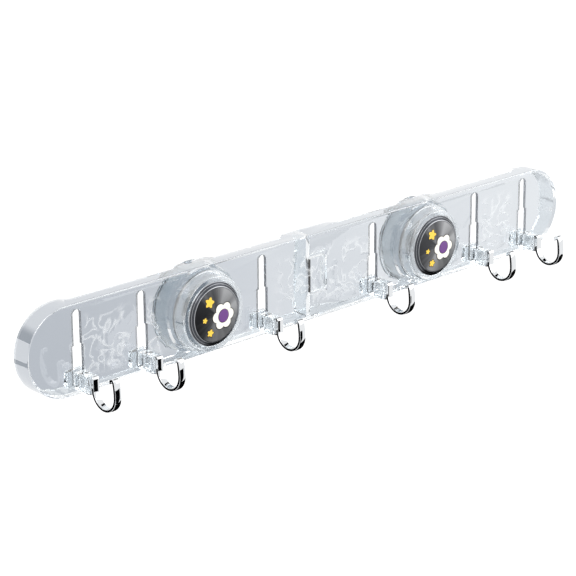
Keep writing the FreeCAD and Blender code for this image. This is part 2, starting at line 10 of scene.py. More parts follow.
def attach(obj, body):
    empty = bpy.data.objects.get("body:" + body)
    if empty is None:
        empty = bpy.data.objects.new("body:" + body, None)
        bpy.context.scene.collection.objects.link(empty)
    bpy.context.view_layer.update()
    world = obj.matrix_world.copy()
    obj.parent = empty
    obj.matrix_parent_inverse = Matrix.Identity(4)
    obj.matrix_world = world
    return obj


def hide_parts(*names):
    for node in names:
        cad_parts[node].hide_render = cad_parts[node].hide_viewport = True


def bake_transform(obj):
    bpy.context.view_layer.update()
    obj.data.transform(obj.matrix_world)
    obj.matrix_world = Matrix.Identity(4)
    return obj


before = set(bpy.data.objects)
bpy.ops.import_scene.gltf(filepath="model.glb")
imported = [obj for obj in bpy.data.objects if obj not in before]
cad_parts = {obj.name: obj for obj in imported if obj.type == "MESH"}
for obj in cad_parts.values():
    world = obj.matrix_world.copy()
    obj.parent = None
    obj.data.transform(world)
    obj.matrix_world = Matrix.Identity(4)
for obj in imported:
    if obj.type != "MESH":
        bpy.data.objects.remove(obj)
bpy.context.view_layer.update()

bl_info = {
    "name": "Suction hook rail",
    "version": (1, 0, 0),
    "blender": (4, 5, 0),
    "location": "View3D > Sidebar > Hook rail",
    "description": "Clear two-part hook bar with screw-down suction cups and chromed sliding hooks",
    "category": "Object",
}

# Places and sizes that several pieces share, in millimetres. Depths are distances from the wall.
PITCH = 48.0
SIDES = (("left", -2 * PITCH), ("right", 2 * PITCH))
HOOK_PLACES = tuple(PITCH * place for place in (-4, -3, -1, 1, 3, 4))
BAR_FRONT, PLATE_BACK = 14.5, 12.3
END_CENTRE, HALF_HEIGHT = 200.0, 28.0
SLOT_HALF_WIDTH = 4.0
HOLDER_LOW, HOLDER_REACH = -24.2, 12.0
HEAD_BACK, HEAD_FRONT, HEAD_RADIUS = 5.9, 8.2, 7.0
SHANK_RADIUS, SHANK_FLAT, THREAD_RADIUS = 5.0, 4.0, 4.0
CLEARANCE = 0.08
KNOB_FACE, CAP_SEAT, CAP_RADIUS = 23.9, 22.7, 20.0
CAP_FACE, CAP_CROWN, CAP_DOME_RADIUS = 25.8, 0.9, 17.2

# The middle of each patch of icy swirls along the bar and half its length, in millimetres.
SWIRL_PATCHES = ((-172, 24), (-136, 7), (8, 52), (165, 18))

PRINT_STEPS = 96
ALL_RAYS = ("camera", "diffuse", "glossy", "transmission", "shadow")


def linear(text):
    """A hex colour such as #8899AA as linear red, green and blue."""
    shares = np.array([int(text[i:i + 2], 16) for i in (1, 3, 5)]) / 255
    curve = np.where(shares <= 0.04045, shares / 12.92, ((shares + 0.055) / 1.055) ** 2.4)
    return tuple(float(v) for v in curve)


def colour(label, description, text):
    return FloatVectorProperty(name=label, description=description, subtype="COLOR", size=3, min=0, max=1,
                               default=linear(text))


def millimetres(label, description, value):
    return FloatProperty(name=label, description=description, default=value / 1000, unit="LENGTH",
                         precision=5)


class RailSizes(bpy.types.PropertyGroup):
    edge: millimetres("Moulded edge", "Rounding on the edges of the clear mouldings", 0.25)
    holder_edge: millimetres("Holder edge", "Rounding on the edges of the holders", 0.35)
    swirl: millimetres("Relief height", "Height of the icy swirls moulded into the bar", 0.35)
    strip_width: millimetres("Strip width", "Chromed strip, side to side", 4.4)
    strip_thickness: millimetres("Strip thickness", "Chromed strip at the middle of its faces", 2.0)
    strip_edge: millimetres("Strip edge", "Rounding on the edges of the chromed strip", 0.25)
    strip_crown: millimetres("Strip crown", "Rise of the strip's faces over their edges", 0.14)
    ring_radius: millimetres("Ring radius", "Ring of a hook, to the strip's middle", 9.95)
    thread_depth: millimetres("Thread depth", "Crest to root of the stud's thread", 0.55)
    print_height: millimetres("Print height", "Thickness of the printed colours on a cap", 0.08)
    turns: IntProperty(name="Round segments", description="Faces round a turned piece", default=192, min=32)
    lens: FloatProperty(name="Lens", description="Camera lens on a 36 mm sensor", default=144.388,
                        unit="CAMERA")


class RailColours(bpy.types.PropertyGroup):
    clear: colour("Clear plastic", "Tint of the bar and knobs", "#F3F6F8")
    # The rim's greyer tint is painted shade: the same plastic as the bar's front, darker where light runs
    # along the wall.
    rim: colour("Rim and edges", "Tint of the bar's rim, where light runs along the wall", "#DAE0E5")
    # The slot walls' dark grey tint is painted shade in the slots; their frost is their roughness.
    slot: colour("Slot walls", "Tint of the matt walls of the slots", "#8E9299")
    holder: colour("Holders", "Tint of the thick holders", "#DFE5E9")
    cup: colour("Suction cups", "Tint of the soft cups", "#D5DCE2")
    stud: colour("Studs", "Natural plastic of the cup studs", "#E4E8EA")
    chrome: colour("Chrome", "Plated hooks", "#E8EAEC")
    # The cap's light and dark colours mix over its random rays and over painted light: bright wedges of
    # painted reflection and painted shade to the left.
    cap_light_rays_and_highlight: colour("Cap, light", "Light rays of the metallised cap", "#B4B5B7")
    cap_dark_rays_and_shade: colour("Cap, dark", "Dark rays of the metallised cap", "#4A4B4E")
    # The cap's bevel colours are painted light: painted shade on the bevel and painted highlights on its thin
    # rings.
    cap_bevel_painted_shade: colour("Cap edge", "Bevel of the metallised cap", "#47494E")
    cap_bead_painted_highlight: colour("Cap bead", "Thin bright rings round the cap", "#B4B6BA")
    print_white: colour("Print, white", "Petals", "#FBF8EE")
    print_violet: colour("Print, violet", "Flower's middle", "#6C3D86")
    print_yellow: colour("Print, yellow", "Small blooms", "#FBD24A")
    print_line: colour("Print, line", "Dark outline round each printed shape", "#1E1C20")
    floor: colour("Floor", "Plain studio floor", "#FFFFFF")


def sizes():
    return bpy.context.scene.hook_rail_sizes


def colours():
    return bpy.context.scene.hook_rail_colours


# Shapes

def surface(name, points, wrap_u=False, wrap_v=False):
    """A mesh from a grid of points in millimetres: neighbours in u and v are joined by four-sided
    faces, doubles at poles and seams are merged and the faces are turned outwards."""
    nu, nv = points.shape[:2]
    rows, columns = np.arange(nu if wrap_u else nu - 1), np.arange(nv if wrap_v else nv - 1)
    u, v = np.meshgrid(rows, columns, indexing="ij")
    u1, v1 = (u + 1) % nu, (v + 1) % nv
    faces = np.stack([u * nv + v, u1 * nv + v, u1 * nv + v1, u * nv + v1], axis=-1).reshape(-1, 4)
    mesh = bpy.data.meshes.new(name)
    mesh.from_pydata((points.reshape(-1, 3) / 1000).tolist(), [], faces.tolist())
    settle(mesh)
    return mesh


def settle(mesh, turn=True):
    """Merge doubles and, for new surfaces, turn the faces outwards."""
    work = bmesh.new()
    work.from_mesh(mesh)
    bmesh.ops.remove_doubles(work, verts=work.verts, dist=2e-6)
    bmesh.ops.dissolve_degenerate(work, edges=work.edges, dist=1e-7)
    if turn:
        bmesh.ops.recalc_face_normals(work, faces=work.faces)
    work.to_mesh(mesh)
    work.free()


def rounded(corners, radius, closed=True, steps=5):
    """Each corner becomes the curve (1-t)^2 A + 2t(1-t) C + t^2 B, where C is the corner and A and B
    lie one radius before and after it, at most 0.45 of the way to the next corner. Two more points
    close to the ends of each straight keep its shading flat."""
    corners = np.asarray(corners, float)
    before, after = np.roll(corners, 1, 0) - corners, np.roll(corners, -1, 0) - corners
    radius = np.broadcast_to(np.asarray(radius, float), len(corners)).copy()
    if not closed:
        radius[[0, -1]] = 0
    length = [np.maximum(np.linalg.norm(side, axis=1), 1e-9) for side in (before, after)]
    reach = np.minimum(radius, 0.45 * np.minimum(*length))
    first = corners + before * (reach / length[0])[:, None]
    last = corners + after * (reach / length[1])[:, None]
    t = np.linspace(0, 1, steps)[None, :, None]
    curves = (1 - t) ** 2 * first[:, None] + 2 * t * (1 - t) * corners[:, None] + t**2 * last[:, None]
    straight = (np.roll(first, -1, 0) - last)[:, None] * np.array([0.04, 0.96])[None, :, None]
    points = np.concatenate([curves, last[:, None] + straight], axis=1).reshape(-1, 2)
    return points if closed else points[:-2]


def section(corners, closed=True, steps=5):
    """A profile of (radius, depth) from corners that give a radius, a distance from the wall and how far
    the corner is rounded."""
    radius, distance, rounding = np.array(corners, float).T
    return rounded(np.stack([radius, -distance], axis=-1), rounding, closed, steps)


def turned(name, profile, x, closed=True):
    """A profile of (radius, depth) turned about the level line at x: (x + r cos a, depth, r sin a)."""
    angle = np.linspace(0, 2 * math.pi, sizes().turns, endpoint=False)[:, None]
    radius, depth = profile[None, :, 0], profile[None, :, 1]
    points = np.stack([x + radius * np.cos(angle), depth + 0 * angle, radius * np.sin(angle)], axis=-1)
    return surface(name, points, wrap_u=True, wrap_v=closed)


def piece(name, mesh, material, body, nodes, angle=32):
    """An object with smooth faces that are sharp past an angle, riding on a body in place of CAD nodes."""
    obj = bpy.data.objects.new(name, mesh)
    bpy.context.scene.collection.objects.link(obj)
    mesh.materials.clear()
    mesh.materials.append(material)
    mesh.shade_smooth()
    if angle:
        mesh.set_sharp_from_angle(angle=math.radians(angle))
    if body:
        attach(obj, body)
    if nodes:
        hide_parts(*nodes)
    return obj


def copied(name, node, material, body, edge):
    """A merged copy of a CAD node, its moulded edges rounded by a Bevel modifier of a width in metres."""
    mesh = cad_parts[node].data.copy()
    mesh.name = name
    settle(mesh, turn=False)
    obj = piece(name, mesh, material, body, [node])
    bevel = obj.modifiers.new("moulded_edge", "BEVEL")
    bevel.width = edge
    bevel.segments = 2
    bevel.limit_method = "ANGLE"
    bevel.angle_limit = math.radians(40)
    bevel.harden_normals = True
    bevel.material = 0
    return obj


def face_values(mesh, name):
    """The centre (millimetres) or normal of each face of a mesh, as rows of three."""
    values = np.empty(len(mesh.polygons) * 3, np.float32)
    mesh.polygons.foreach_get(name, values)
    return values.reshape(-1, 3) * (1000 if name == "center" else 1)


# Materials

def add(tree, kind, inputs=None, **settings):
    """Add a node, set what it is given and link any sockets among its inputs."""
    item = tree.nodes.new(kind)
    for key, value in settings.items():
        setattr(item, key, value)
    for key, value in (inputs or {}).items():
        if isinstance(value, bpy.types.NodeSocket):
            tree.links.new(value, item.inputs[key])
        else:
            item.inputs[key].default_value = value
    return item


def new_material(name, base, roughness, metallic=0.0, transmission=0.0, ior=None, coat_ior=None):
    """A material with its node tree and its shader, set to a base colour and the given finish."""
    material = bpy.data.materials.new(name)
    material.use_nodes = True
    tree = material.node_tree
    shader = tree.nodes["Principled BSDF"]
    shader.inputs["Base Color"].default_value = (*base, 1)
    shader.inputs["Roughness"].default_value = roughness
    shader.inputs["Metallic"].default_value = metallic
    shader.inputs["Transmission Weight"].default_value = transmission
    if ior:
        shader.inputs["IOR"].default_value = ior
    if coat_ior:
        shader.inputs["Coat Weight"].default_value = 1
        shader.inputs["Coat IOR"].default_value = coat_ior
    return material, tree, shader


def moulded_clear_polystyrene(part, base, shine=3.2, ior=1.2):
    """Injection moulded clear polystyrene: glassy, sharply polished faces whose edges catch bright lines.
    A low index keeps the view through the walls nearly straight, and the coat's high index, the shine,
    gives the polished faces their strong reflections."""
    name = "moulded_clear_polystyrene_" + part
    return new_material(name, base, 0.02, transmission=1.0, ior=ior, coat_ior=shine)


def add_icy_swirls(tree, shader):
    """Icy, slightly matt curls in relief on the bar's front, in patches between its slots."""
    place = add(tree, "ShaderNodeTexCoord").outputs["Object"]
    apart = add(tree, "ShaderNodeSeparateXYZ", {"Vector": place})
    mask = None
    for middle, half in SWIRL_PATCHES:
        shifted = add(tree, "ShaderNodeMath", {0: apart.outputs["X"], 1: middle / 1000}, operation="SUBTRACT")
        away = add(tree, "ShaderNodeMath", {0: shifted.outputs[0]}, operation="ABSOLUTE")
        patch = add(tree, "ShaderNodeMapRange",
                    {"Value": away.outputs[0], "From Min": half / 1000, "From Max": half * 0.6 / 1000},
                    interpolation_type="SMOOTHSTEP")
        if mask is None:
            mask = patch.outputs[0]
        else:
            mask = add(tree, "ShaderNodeMath", {0: mask, 1: patch.outputs[0]}, operation="MAXIMUM").outputs[0]
    # The patches fade out between 12 and 22 mm above and below the bar's middle line.
    height = add(tree, "ShaderNodeMath", {0: apart.outputs["Z"]}, operation="ABSOLUTE")
    band = add(tree, "ShaderNodeMapRange",
               {"Value": height.outputs[0], "From Min": 0.022, "From Max": 0.012},
               interpolation_type="SMOOTHSTEP")
    mask = add(tree, "ShaderNodeMath", {0: mask, 1: band.outputs[0]}, operation="MULTIPLY").outputs[0]
    # The curls are the contour lines of a noise at its middle value, with 85 cells in a metre, so that one
    # is about 12 mm long.
    flow = add(tree, "ShaderNodeTexNoise",
               {"Vector": place, "Scale": 85.0, "Detail": 1.0, "Roughness": 0.45, "Distortion": 1.2})
    level = add(tree, "ShaderNodeMath", {0: flow.outputs["Fac"], 1: 0.5}, operation="SUBTRACT")
    level = add(tree, "ShaderNodeMath", {0: level.outputs[0]}, operation="ABSOLUTE")
    raised = add(tree, "ShaderNodeMapRange",
                 {"Value": level.outputs[0], "From Min": 0.075, "From Max": 0.0},
                 interpolation_type="SMOOTHSTEP")
    relief = add(tree, "ShaderNodeMath", {0: raised.outputs[0], 1: mask}, operation="MULTIPLY")
    for socket, strength in (("Normal", 0.2), ("Coat Normal", 0.4)):
        bump = add(tree, "ShaderNodeBump",
                   {"Height": relief.outputs[0], "Distance": sizes().swirl, "Strength": strength})
        tree.links.new(bump.outputs["Normal"], shader.inputs[socket])
    # On the curls the face is matter and lets less light through.
    matt = add(tree, "ShaderNodeMapRange", {"Value": relief.outputs[0], "To Min": 0.02, "To Max": 0.3})
    tree.links.new(matt.outputs[0], shader.inputs["Roughness"])
    misty = add(tree, "ShaderNodeMapRange", {"Value": relief.outputs[0], "To Min": 1.0, "To Max": 0.6})
    tree.links.new(misty.outputs[0], shader.inputs["Transmission Weight"])


def inner_face(name, roughness):
    """The inner faces of the clear mouldings, polished less: clear or misty, with no hard shine."""
    return new_material("moulded_clear_" + name, colours().clear, roughness, transmission=1.0, ior=1.2)[0]


def matt_slot_wall():
    """The slots' walls come from a matt steel insert in the mould: a fine frost that shines pale, tinted a
    darker grey as painted shade in the slots.
    """
    return new_material("matt_moulded_slot_wall", colours().slot, 0.45, transmission=0.55, ior=1.5)[0]


def moulded_soft_vinyl():
    """Soft clear vinyl, moulded: a duller, slightly cloudy grey glass."""
    return new_material("moulded_soft_vinyl", colours().cup, 0.18, transmission=0.85, ior=1.53)[0]


def moulded_natural_nylon():
    """Natural nylon, moulded: milky and half glossy."""
    return new_material("moulded_natural_nylon", colours().stud, 0.35, transmission=0.35, ior=1.53)[0]


def polished_chrome_plate():
    """Bright chrome on polished steel: mirrors the studio in crisp black and white streaks."""
    return new_material("polished_chrome_plate", colours().chrome, 0.03, metallic=1.0)[0]


def metallised_spun_cap():
    """Plastic metallised over a spun texture: grey rays fan out from the middle, under painted reflection in
    two bright wedges, painted shade to the left, and a bevel painted dark with bright rings of painted
    highlight.
    """
    material, tree, shader = new_material("metallised_spun_cap", colours().cap_dark_rays_and_shade, 0.28, metallic=1.0)
    place = add(tree, "ShaderNodeTexCoord").outputs["Object"]
    apart = add(tree, "ShaderNodeSeparateXYZ", {"Vector": place})
    # The distance along the bar from the middle of the nearer cap, whose side is the sign of X.
    side = add(tree, "ShaderNodeMath", {0: apart.outputs["X"]}, operation="SIGN")
    across = add(tree, "ShaderNodeMath", {0: side.outputs[0], 1: SIDES[0][1] / 1000, 2: apart.outputs["X"]},
                 operation="MULTIPLY_ADD")
    flat = add(tree, "ShaderNodeCombineXYZ", {"X": across.outputs[0], "Z": apart.outputs["Z"]})
    ray = add(tree, "ShaderNodeVectorMath", {0: flat.outputs[0]}, operation="NORMALIZE")
    reach = add(tree, "ShaderNodeVectorMath", {0: flat.outputs[0]}, operation="LENGTH")
    rays = add(tree, "ShaderNodeTexNoise",
               {"Vector": ray.outputs["Vector"], "Scale": 1.5, "Detail": 3.0, "Roughness": 0.5})
    # Painted reflection: two opposed bright wedges, as on spun metal, from the squared cosine of the angle to
    # the steep axis.
    sheen_sector = add(tree, "ShaderNodeVectorMath", {0: ray.outputs["Vector"], 1: (0.5, 0, 0.87)},
                 operation="DOT_PRODUCT")
    sheen_sector = add(tree, "ShaderNodeMath", {0: sheen_sector.outputs["Value"], 1: sheen_sector.outputs["Value"]},
                 operation="MULTIPLY")
    light = add(tree, "ShaderNodeMath", {0: sheen_sector.outputs[0], 1: 0.16, 2: rays.outputs["Fac"]},
                operation="MULTIPLY_ADD")
    # Painted shade: the dome is darker towards its left edge, by 9 a metre.
    light = add(tree, "ShaderNodeMath", {0: across.outputs[0], 1: 9.0, 2: light.outputs[0]},
                operation="MULTIPLY_ADD")
    share = add(tree, "ShaderNodeMapRange",
                {"Value": light.outputs[0], "From Min": 0.40, "From Max": 0.84})
    face = add(tree, "ShaderNodeMix", {"Factor": share.outputs[0], 6: (*colours().cap_dark_rays_and_shade, 1),
                                       7: (*colours().cap_light_rays_and_highlight, 1)}, data_type="RGBA")
    # Rings over the radius in millimetres, painted light on the bevel: a bright bead, the dark bevel of
    # painted shade, a bright line in it and a bright rim, the bright rings being painted highlights.
    ring = add(tree, "ShaderNodeMapRange",
               {"Value": reach.outputs["Value"], "From Min": 0.0, "From Max": CAP_RADIUS / 1000})
    glint_and_shade_rings = add(tree, "ShaderNodeValToRGB", {"Fac": ring.outputs[0]})
    ramp = glint_and_shade_rings.color_ramp
    ramp.interpolation = "CONSTANT"
    # edge is the bevel's painted shade, bright the painted highlight of the thin rings.
    edge, bright = (*colours().cap_bevel_painted_shade, 1), (*colours().cap_bead_painted_highlight, 1)
    ramp.elements[0].color, ramp.elements[1].color = edge, bright
    ramp.elements[1].position = 17.0 / CAP_RADIUS
    for radius, tint in ((17.35, edge), (18.6, bright), (18.8, edge), (19.7, bright)):
        ramp.elements.new(radius / CAP_RADIUS).color = tint
    outside = add(tree, "ShaderNodeMath", {0: reach.outputs["Value"], 1: 0.0167}, operation="GREATER_THAN")
    full = add(tree, "ShaderNodeMix", {"Factor": outside.outputs[0], 6: face.outputs[2], 7: glint_and_shade_rings.outputs[0]},
               data_type="RGBA")
    tree.links.new(full.outputs[2], shader.inputs["Base Color"])
    return material


def screen_print(name, base):
    """Screen-printed enamel ink: flat colour with a soft gloss."""
    return new_material("screen_print_" + name, base, 0.35, ior=1.5)[0]


# Pieces

class HOOKRAIL_OT_bar(bpy.types.Operator):
    """Make the two halves of the clear bar, with rounded edges and the swirls in relief"""
    bl_idname = "hookrail.bar"
    bl_label = "Clear bar"

    def execute(self, context):
        # The rims and rounded edges take the clear plastic in its greyer rim tint, painted shade for light
        # running along the wall.
        rim = moulded_clear_polystyrene("rim", colours().rim)[0]
        inside, shaded_slot_wall = inner_face("bar_inside", 0.04), matt_slot_wall()
        front, tree, shader = moulded_clear_polystyrene("front", colours().clear, shine=1.7)
        add_icy_swirls(tree, shader)
        for side, _ in SIDES:
            mesh = copied(f"bar_{side}", f"rail_{side}", rim, "rail", sizes().edge).data
            for material in (inside, shaded_slot_wall, front):
                mesh.materials.append(material)
            # Inner faces lie from the plate's back face to the wall, 1 mm or more inside the rim's outer
            # face. A slot's wall lies at the slot's sides or between them, 3 mm or more inside the bar's
            # height, and faces sideways. The front is the flat face at the bar's full depth. The rims and
            # the rounded edges keep the first material.
            middle, facing = face_values(mesh, "center"), face_values(mesh, "normal")
            past_end = np.maximum(np.abs(middle[:, 0]) - END_CENTRE, 0)
            from_middle = np.hypot(past_end, middle[:, 2])
            is_inner = (from_middle < HALF_HEIGHT - 1) & (middle[:, 1] > -PLATE_BACK - 0.3)
            to_slot = np.abs(middle[:, :1] - np.array(HOOK_PLACES)[None, :]).min(axis=1)
            in_slot = (to_slot < SLOT_HALF_WIDTH + 0.5) & (np.abs(middle[:, 2]) < HALF_HEIGHT - 3)
            is_wall = in_slot & (np.abs(facing[:, 1]) < 0.5)
            is_front = (facing[:, 1] < -0.9) & (middle[:, 1] < -BAR_FRONT + 0.2)
            chosen = np.select([is_wall, is_inner, is_front], [2, 1, 3]).astype(np.int32)
            mesh.polygons.foreach_set("material_index", chosen)
        return {"FINISHED"}


class HOOKRAIL_OT_cups(bpy.types.Operator):
    """Make the two soft suction cups, in one fixed shape; the real cups are drawn in as their studs are
    pulled
    """
    bl_idname = "hookrail.cups"
    bl_label = "Suction cups"

    def execute(self, context):
        vinyl = moulded_soft_vinyl()
        # From the hollow's middle round the pocket for the stud's head, up the bore, over the boss, and down
        # the soft dome to the lip and its sealing face on the wall.
        pocket, bore = HEAD_RADIUS + CLEARANCE, SHANK_RADIUS + CLEARANCE
        pocket_back, pocket_front = HEAD_BACK - CLEARANCE, HEAD_FRONT + CLEARANCE
        hollow, boss_front, boss, lip_front, lip = 2.6, 11.6, 9.6, 0.9, 28.2
        corners = [(0, hollow, 0), (0, pocket_back, 0), (pocket, pocket_back, 0.1),
                   (pocket, pocket_front, 0.1), (bore, pocket_front, 0.1), (bore, boss_front, 0.2),
                   (boss, boss_front, 0.8), (10.5, 7.6, 2.5), (17.95, 5.1, 5), (25.4, 1.2, 2.5),
                   (lip, lip_front, 0.4), (lip, 0, 0.2), (23.7, 0, 4), (9, hollow, 4)]
        profile = section(corners, steps=9)
        for side, x in SIDES:
            mesh = turned(f"cup_{side}", profile, x)
            cup = piece(f"cup_{side}", mesh, vinyl, None, [f"suction_cup_{side}"])
            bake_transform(cup)
        return {"FINISHED"}


class HOOKRAIL_OT_studs(bpy.types.Operator):
    """Make the cups' studs: a head, a shank with two flats and a two-start thread of 4 mm lead"""
    bl_idname = "hookrail.studs"
    bl_label = "Studs"

    def execute(self, context):
        nylon = moulded_natural_nylon()
        depth = sizes().thread_depth * 1000
        lead, crest, shoulder, thread_end, tip = 4.0, THREAD_RADIUS - 0.02, 13.4, 19.0, 19.65
        # Each stretch along the stud has its two ends, its number of rows and its radius: the head's back,
        # the head, the shank, the thread, the edge of the tapered tip and the tip's middle.
        stretches = ((HEAD_BACK, HEAD_BACK, 1, 0), (HEAD_BACK, HEAD_FRONT, 4, HEAD_RADIUS),
                     (HEAD_FRONT, shoulder, 6, SHANK_RADIUS), (shoulder, thread_end, 68, crest),
                     (tip, tip, 1, 3.3), (tip, tip, 1, 0))
        along = np.concatenate([np.linspace(start, end, rows) for start, end, rows, _ in stretches])[None, :]
        plain = np.concatenate([np.full(rows, radius) for _, _, rows, radius in stretches])[None, :]
        # The thread is cut from its crest by a smoothed triangle wave of s / half a lead + a / half a turn,
        # over the place s along the stud and the angle a round it.
        angle = np.linspace(0, 2 * math.pi, sizes().turns, endpoint=False)[:, None]
        wave = np.abs(((along / (lead / 2) + angle / math.pi) % 1) * 2 - 1)
        wave = np.clip(wave * 1.6 - 0.3, 0, 1)
        radius = plain - np.where(plain == crest, depth * wave, 0)
        flat = np.where(plain == SHANK_RADIUS, SHANK_FLAT, np.inf)
        for side, x in SIDES:
            points = np.stack([x + radius * np.cos(angle), -along + 0 * angle,
                               np.clip(radius * np.sin(angle), -flat, flat)], axis=-1)
            mesh = surface(f"stud_{side}", points, wrap_u=True)
            piece(f"stud_{side}", mesh, nylon, f"stud_{side}", [f"cup_stud_{side}"])
        return {"FINISHED"}


class HOOKRAIL_OT_knobs(bpy.types.Operator):
    """Make the two clear screw knobs with rounded edges"""
    bl_idname = "hookrail.knobs"
    bl_label = "Screw knobs"

    def execute(self, context):
        clear = moulded_clear_polystyrene("knob", colours().clear, ior=1.35)[0]
        inside = inner_face("knob_inside", 0.08)
        # From the bore round the cap's recess, over the face, down the side and the foot, and through the
        # hollow back to the hub.
        bore, recess = THREAD_RADIUS + CLEARANCE, CAP_RADIUS + 0.05
        hub, hub_back, hollow, hollow_front = 7.5, 16.85, 21.6, 20.5
        foot, foot_front, foot_back = 25.2, 16.7, BAR_FRONT + 0.25
        corners = [(bore, hub_back, 0.2), (bore, CAP_SEAT, 0.15), (recess, CAP_SEAT, 0.15),
                   (recess, KNOB_FACE, 0.3), (23.2, KNOB_FACE, 0.45), (24.4, foot_front, 0.3),
                   (foot, foot_front, 0.4), (foot, foot_back, 0.35), (hollow, foot_back, 0.35),
                   (hollow, hollow_front, 1.2), (hub, hollow_front, 0.8), (hub, hub_back, 0.3)]
        profile = section(corners, steps=7)
        for side, x in SIDES:
            mesh = turned(f"screw_knob_{side}", profile, x)
            piece(f"screw_knob_{side}", mesh, clear, f"knob_{side}", [f"knob_{side}"],
                  angle=50)
            mesh.materials.append(inside)
            middle = face_values(mesh, "center")
            from_axis = np.hypot(middle[:, 0] - x, middle[:, 2])
            is_inner = (from_axis < hollow + 0.2) & (middle[:, 1] > -CAP_SEAT - 0.05)
            mesh.polygons.foreach_set("material_index", is_inner.astype(np.int32))
        return {"FINISHED"}


def cap_height(radius):
    """Front of the cap over its radius: a shallow dome that falls with the square of the radius."""
    return CAP_FACE + CAP_CROWN * (1 - (radius / CAP_DOME_RADIUS) ** 2)


def print_shapes():
    """The printed shapes: name, middle (x, z), edge radius over the angle, layer and ink. The flower's edge
    is 6.6 + 1.9 |cos 3a|^0.8 mm, which makes six petals, and a bloom's is size (0.82 + 0.18 cos 5a)."""
    angle = np.linspace(0, 2 * math.pi, PRINT_STEPS, endpoint=False)
    petals = 6.6 + 1.9 * np.abs(np.cos(3 * angle)) ** 0.8
    x, z = 4.9, -1.6
    shapes = [("flower_line", x, z, petals + 0.55, 1.0, "line"), ("flower", x, z, petals, 1.8, "white"),
              ("flower_middle_line", x, z, 4.4 + 0 * angle, 2.5, "line"),
              ("flower_middle", x, z, 4.05 + 0 * angle, 3.2, "violet")]
    for n, (x, z, size) in enumerate(((-5.6, 8.9, 3.5), (-9.6, -1.6, 1.8), (-5.4, -10.4, 2.5)), start=1):
        bloom = size * (0.82 + 0.18 * np.cos(5 * angle))
        shapes += [(f"bloom_line_{n}", x, z, bloom + 0.5, 1.0, "line"),
                   (f"bloom_{n}", x, z, bloom, 1.8, "yellow")]
    return shapes


def printed(name, x, z, edge, centre_x, lift, material, body):
    """A printed shape on the cap: its edge lies at the radius edge(angle) from (x, z), and rows from the
    middle to the edge follow the cap's dome, raised by lift, and end just under the cap's own face."""
    angle = np.linspace(0, 2 * math.pi, PRINT_STEPS, endpoint=False)[:, None]
    row = np.concatenate([np.linspace(0, 0.98, 8), [1.0, 1.0]])[None, :]
    raised = np.concatenate([np.ones(8), [0.6, -0.5]])[None, :] * lift
    reach = edge[:, None] * row
    px, pz = x + reach * np.cos(angle), z + reach * np.sin(angle)
    front = cap_height(np.hypot(px, pz)) + raised
    points = np.stack([centre_x + px, -front, pz], axis=-1)
    mesh = surface(name, points, wrap_u=True)
    piece(name, mesh, material, body, [], angle=0)


class HOOKRAIL_OT_caps(bpy.types.Operator):
    """Make the metallised caps and the flowers printed on them"""
    bl_idname = "hookrail.caps"
    bl_label = "Caps"

    def execute(self, context):
        metal = metallised_spun_cap()
        tints = {"white": colours().print_white, "violet": colours().print_violet,
                 "yellow": colours().print_yellow, "line": colours().print_line}
        ink = {name: screen_print(name, base) for name, base in tints.items()}
        lift = sizes().print_height * 1000
        # The dome's front, the bead and the bevel round it, the foot in the knob's recess and the hollow
        # back.
        dome_edge, back = 17.0, 25.7
        dome = np.linspace(0, dome_edge, 18)
        front = np.stack([dome, -cap_height(dome)], axis=-1)
        bevel = section([(dome_edge, CAP_FACE, 0), (17.25, 25.75, 0.2), (19.7, 24.1, 0.2),
                         (CAP_RADIUS, KNOB_FACE, 0.2), (CAP_RADIUS, CAP_SEAT, 0.1), (19, CAP_SEAT, 0.1),
                         (19, 23.4, 0.2), (16.7, 24.8, 0.4), (7, back, 0)], closed=False)
        profile = np.concatenate([front, bevel, [(0, -back)]])
        for side, x in SIDES:
            body = f"knob_{side}"
            mesh = turned(f"cap_{side}", profile, x, closed=False)
            piece(f"cap_{side}", mesh, metal, body, [f"knob_cap_{side}"])
            for name, print_x, print_z, edge, layer, tint in print_shapes():
                printed(f"print_{name}_{side}", print_x, print_z, edge, x, lift * layer, ink[tint], body)
        return {"FINISHED"}


class HOOKRAIL_OT_holders(bpy.types.Operator):
    """Make the six clear holders that slide in the slots"""
    bl_idname = "hookrail.holders"
    bl_label = "Holders"

    def execute(self, context):
        clear = moulded_clear_polystyrene("holder", colours().holder, shine=2.6, ior=1.35)[0]
        edge = sizes().holder_edge
        for n in range(1, len(HOOK_PLACES) + 1):
            copied(f"holder_{n}", f"hook_holder_{n}", clear, f"carrier_{n}", edge)
        return {"FINISHED"}


def hook_path():
    """Places y and z on a hook's middle line in millimetres, and its headings. The line is walked in short
    steps whose heading turns at each stretch's own rate, and a step on an arc is as long as its chord."""
    ring = sizes().ring_radius * 1000
    top_bend, lean, tip = 1.05, 42, 1.25
    # Length, radius (0 where it is straight), way of turning and steps: the back leg on the holder's block,
    # the bend over its top, the drop, the ring's lower half, the slightly curved rise and the rolled tip.
    stretches = ((9.6, 0, 0, 4), (math.pi * top_bend, top_bend, 1, 24), (6.0, 0, 0, 6),
                 (math.pi * ring, ring, -1, 96), (lean * math.asin(9.4 / lean), lean, -1, 14),
                 (tip * math.radians(203.9), tip, -1, 30))
    step = np.concatenate([np.full(count, length / count) for length, _, _, count in stretches])
    rate = np.concatenate([np.full(count, way / radius if radius else 0)
                           for _, radius, way, count in stretches])
    turn = np.cumsum(step * rate)
    middle = math.pi / 2 + turn - step * rate / 2
    chord = np.where(rate == 0, step, 2 * np.sin(np.abs(rate) * step / 2) / np.maximum(np.abs(rate), 1e-9))
    # The line starts at the holder's low end, 0.9 mm in front of its block.
    start_y, start_z = -(BAR_FRONT + HOLDER_REACH + 0.9), HOLDER_LOW
    path_y = start_y + np.concatenate([[0], np.cumsum(chord * np.cos(middle))])
    path_z = start_z + np.concatenate([[0], np.cumsum(chord * np.sin(middle))])
    return path_y, path_z, math.pi / 2 + np.concatenate([[0], turn])


